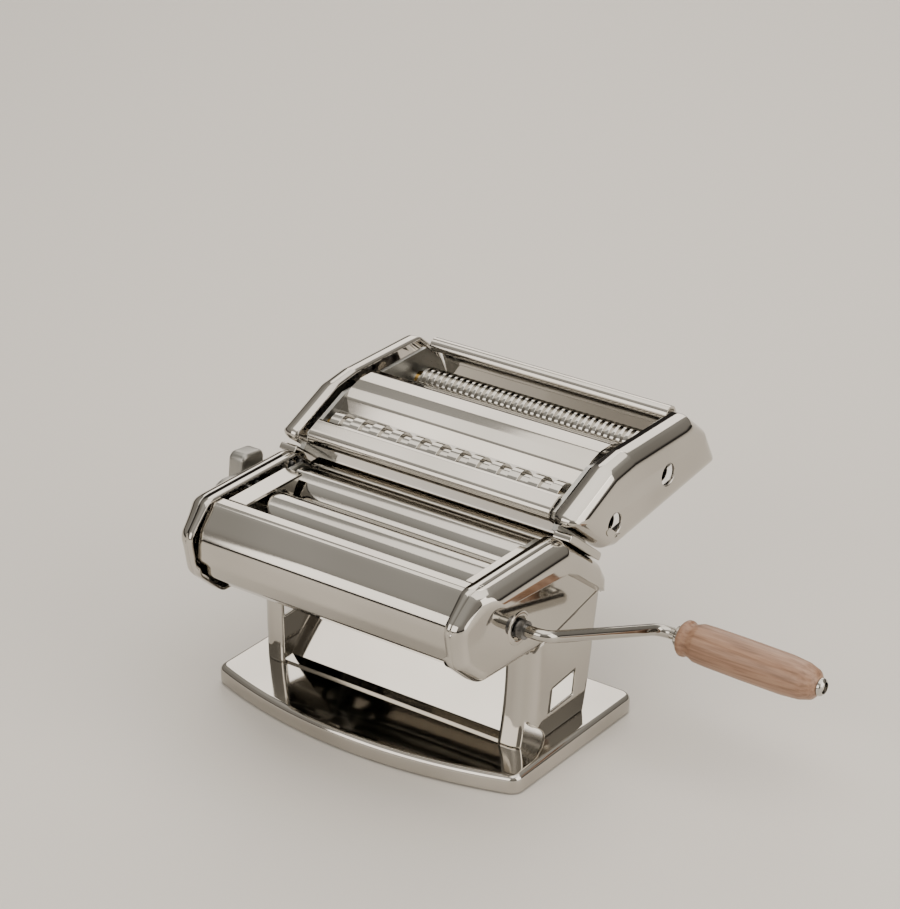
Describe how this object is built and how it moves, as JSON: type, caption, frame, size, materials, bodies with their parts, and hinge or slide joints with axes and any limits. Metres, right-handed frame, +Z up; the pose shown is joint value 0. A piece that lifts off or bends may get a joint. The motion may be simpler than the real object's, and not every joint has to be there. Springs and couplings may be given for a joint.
{
  "type": "pasta roller machine",
  "caption": "Hand-cranked pasta roller with a chromed sheet body, a gap regulator knob, a wooden crank grip and a detachable double cutter unit.",
  "frame": {"origin": "centre of the base between the legs, on the surface that the rubber feet stand on", "axes": "+X towards the crank side, +Y towards the rear where the cutter unit sits, +Z up"},
  "size_m": [0.3365, 0.2286, 0.152],
  "materials": {
    "chromed_sheet": "bright chrome plating on pressed steel sheet",
    "chromed_steel": "bright chrome plating on turned steel",
    "satin_metal": "satin zinc and nickel plated steel",
    "gear_steel": "plain turned and cut steel, lightly oiled",
    "brass": "plain turned brass",
    "beech": "clear-lacquered turned beech",
    "rubber": "matt black rubber"
  },
  "bodies": {
    "machine": {"base_plate": "chromed_sheet", "rubber_feet": "rubber", "housing_left": "chromed_sheet", "housing_right": "chromed_sheet", "frame_left": "satin_metal", "frame_right": "satin_metal", "front_apron": "chromed_sheet", "rear_slide": "chromed_sheet", "rear_cover": "chromed_sheet", "tie_rods": "satin_metal", "frame_screws": "gear_steel", "housing_standoffs": "satin_metal", "feed_guide_left": "chromed_sheet", "feed_guide_right": "chromed_sheet", "front_scraper": "chromed_sheet", "mounting_rails": "chromed_sheet", "front_roller_bushings": "brass", "pinion_bushing": "brass", "index_plate": "satin_metal", "regulator_bush": "brass"},
    "front_roller_shaft": {"front_roller": "chromed_steel", "front_transfer_gear": "gear_steel", "drive_gear": "gear_steel"},
    "gap_yoke": {"yoke_left": "satin_metal", "yoke_right": "satin_metal", "yoke_bar": "satin_metal", "rear_scraper": "chromed_sheet", "rear_roller_bushings": "brass"},
    "rear_roller_shaft": {"rear_roller": "chromed_steel", "rear_transfer_gear": "gear_steel"},
    "crank": {"drive_pinion": "gear_steel", "crank_rod": "chromed_steel", "grip_ferrule": "chromed_steel", "grip_rivet": "chromed_steel"},
    "grip": {"crank_grip": "beech"},
    "regulator": {"regulator_shaft": "gear_steel", "shaft_cap": "gear_steel", "knob_spring": "gear_steel"},
    "knob": {"regulator_knob": "satin_metal", "detent_pin": "gear_steel"},
    "cutter_unit": {"cutter_cover_left": "chromed_sheet", "cutter_cover_right": "chromed_sheet", "cutter_frame_left": "satin_metal", "cutter_frame_right": "satin_metal", "cutter_front_sheet": "chromed_sheet", "cutter_centre_guide": "chromed_sheet", "cutter_rear_rail": "chromed_sheet", "cutter_tie_rods": "satin_metal", "rail_hooks": "satin_metal", "cutter_screws": "gear_steel", "cutter_bushings": "brass", "cutter_combs": "satin_metal"},
    "wide_driven": {"wide_cutter_driven": "chromed_steel", "wide_gears_driven": "gear_steel"},
    "wide_follower": {"wide_cutter_follower": "chromed_steel", "wide_gears_follower": "gear_steel"},
    "fine_driven": {"fine_cutter_driven": "chromed_steel", "fine_gears_driven": "gear_steel"},
    "fine_follower": {"fine_cutter_follower": "chromed_steel", "fine_gears_follower": "gear_steel"}
  },
  "joints": [
    {"name": "crank_turn", "type": "hinge", "parent": "machine", "child": "crank", "pos_m": [0.084, -0.0322, 0.0902], "axis": [1, 0, 0], "continuous": true},
    {"name": "front_roller_turn", "type": "hinge", "parent": "machine", "child": "front_roller_shaft", "pos_m": [0, -0.033, 0.105], "axis": [1, 0, 0], "continuous": true},
    {"name": "gap_slide", "type": "slide", "parent": "machine", "child": "gap_yoke", "axis": [0, -1, 0], "range_m": [0, 0.002]},
    {"name": "rear_roller_turn", "type": "hinge", "parent": "gap_yoke", "child": "rear_roller_shaft", "pos_m": [0, -0.0007, 0.105], "axis": [1, 0, 0], "continuous": true},
    {"name": "knob_turn", "type": "hinge", "parent": "machine", "child": "regulator", "pos_m": [-0.1, -0.004, 0.099], "axis": [1, 0, 0], "range_deg": [0, 150]},
    {"name": "knob_pull", "type": "slide", "parent": "regulator", "child": "knob", "axis": [-1, 0, 0], "range_m": [0, 0.004], "stiffness_N_per_m": 500, "springref_m": -0.003, "deforming": ["knob_spring"]},
    {"name": "grip_spin", "type": "hinge", "parent": "crank", "child": "grip", "pos_m": [0.121, 0.0542, 0.061], "axis": [0.9998, 0, -0.02], "continuous": true},
    {"name": "cutter_slide", "type": "slide", "parent": "machine", "child": "cutter_unit", "axis": [0, -0.783, 0.622], "range_m": [0, 0.03]},
    {"name": "wide_driven_turn", "type": "hinge", "parent": "cutter_unit", "child": "wide_driven", "pos_m": [0, 0.044, 0.1195], "axis": [1, 0, 0], "continuous": true},
    {"name": "wide_follower_turn", "type": "hinge", "parent": "cutter_unit", "child": "wide_follower", "pos_m": [0, 0.03172, 0.1314], "axis": [1, 0, 0], "continuous": true},
    {"name": "fine_driven_turn", "type": "hinge", "parent": "cutter_unit", "child": "fine_driven", "pos_m": [0, 0.0945, 0.1282], "axis": [1, 0, 0], "continuous": true},
    {"name": "fine_follower_turn", "type": "hinge", "parent": "cutter_unit", "child": "fine_follower", "pos_m": [0, 0.11152, 0.12981], "axis": [1, 0, 0], "continuous": true}
  ],
  "couplings": [
    {"joint": "front_roller_turn", "follows": "crank_turn", "ratio": -0.5},
    {"joint": "rear_roller_turn", "follows": "crank_turn", "ratio": 0.5},
    {"joint": "knob_turn", "follows": "gap_slide", "rad_per_m": 1309},
    {"joint": "wide_follower_turn", "follows": "wide_driven_turn", "ratio": -1},
    {"joint": "fine_follower_turn", "follows": "fine_driven_turn", "ratio": -1}
  ]
}
